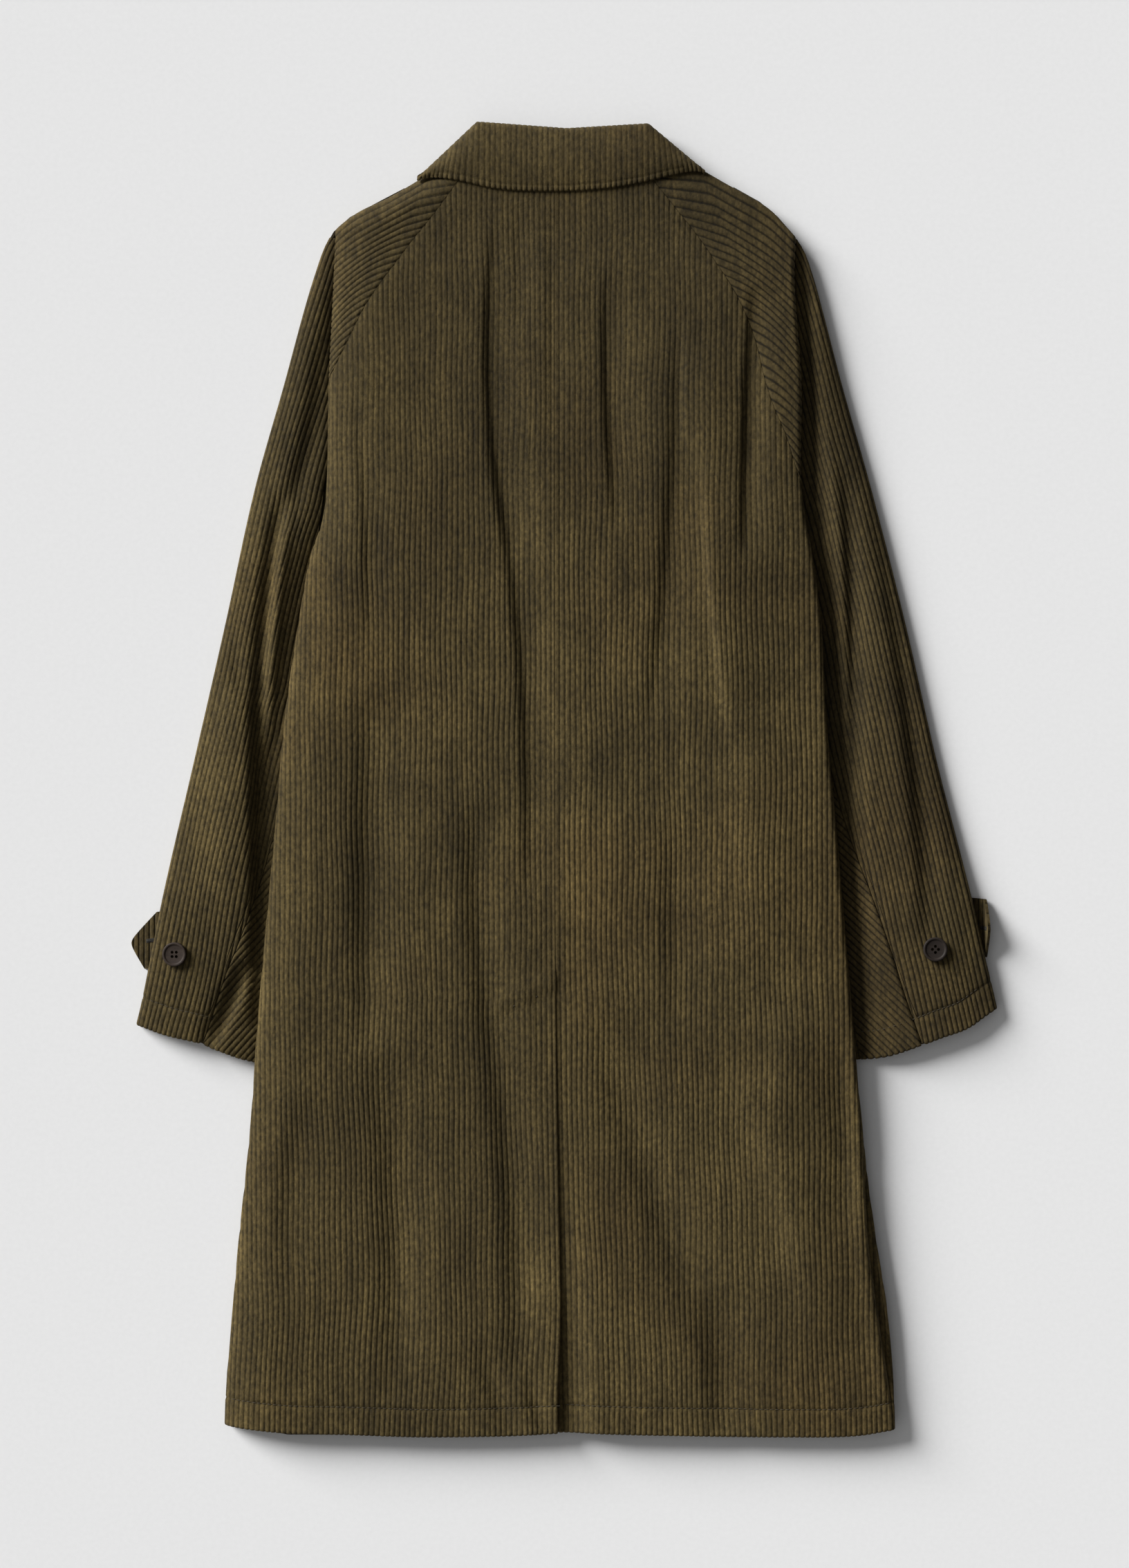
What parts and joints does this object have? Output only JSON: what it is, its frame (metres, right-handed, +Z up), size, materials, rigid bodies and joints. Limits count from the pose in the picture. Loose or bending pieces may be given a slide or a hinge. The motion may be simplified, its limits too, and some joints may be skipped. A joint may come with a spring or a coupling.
{
  "type": "long corduroy coat",
  "caption": "Long wide-wale corduroy coat with raglan sleeves, turn-down collar, back vent and buttoned cuffs with straps, laid flat on its front with the back up.",
  "frame": {"origin": "centre of the coat's outline on the surface it lies on", "axes": "+Y along the coat from the hem to the collar, +Z up out of the back, +X to the wearer's right"},
  "size_m": [0.7164, 1.0856, 0.0259],
  "materials": {
    "corduroy": "olive wide-wale cotton corduroy, matt pile",
    "button": "dark brown, horn-like, softly polished"
  },
  "bodies": {
    "root": {"back_left": "corduroy", "back_right": "corduroy", "sleeve_left_back": "corduroy", "sleeve_right_back": "corduroy", "sleeve_left_front": "corduroy", "sleeve_right_front": "corduroy", "front_left": "corduroy", "front_right": "corduroy", "collar_fall": "corduroy", "collar_stand": "corduroy", "collar_end_left": "corduroy", "collar_end_right": "corduroy", "cuff_strap_left": "corduroy", "cuff_strap_right": "corduroy", "button_left": "button", "button_right": "button"}
  },
  "joints": []
}
